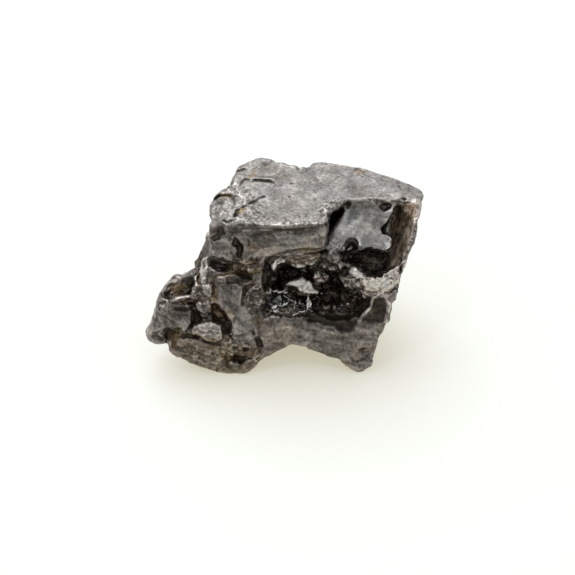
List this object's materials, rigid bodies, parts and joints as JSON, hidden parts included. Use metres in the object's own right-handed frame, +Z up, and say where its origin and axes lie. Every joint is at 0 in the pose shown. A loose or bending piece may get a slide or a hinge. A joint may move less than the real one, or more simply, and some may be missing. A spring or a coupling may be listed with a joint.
{
  "type": "platinum nugget",
  "caption": "Natural platinum nugget: blocky grey metal lump with a flat worn top, a roofed hollow, a deep pit with dark crystals, two feet and an arch.",
  "frame": {"origin": "centre of the nugget's footprint box, on the table it stands on", "axes": "+X to the right along the nugget's length, from the left lobe to the overhanging nose; +Y to the back; +Z up"},
  "size_m": [0.0104, 0.006, 0.0059],
  "materials": {
    "platinum": "satin",
    "dark_crystal": "gloss"
  },
  "bodies": {
    "root": {"nugget": "platinum", "hollow_crystals": "dark_crystal"}
  },
  "joints": []
}
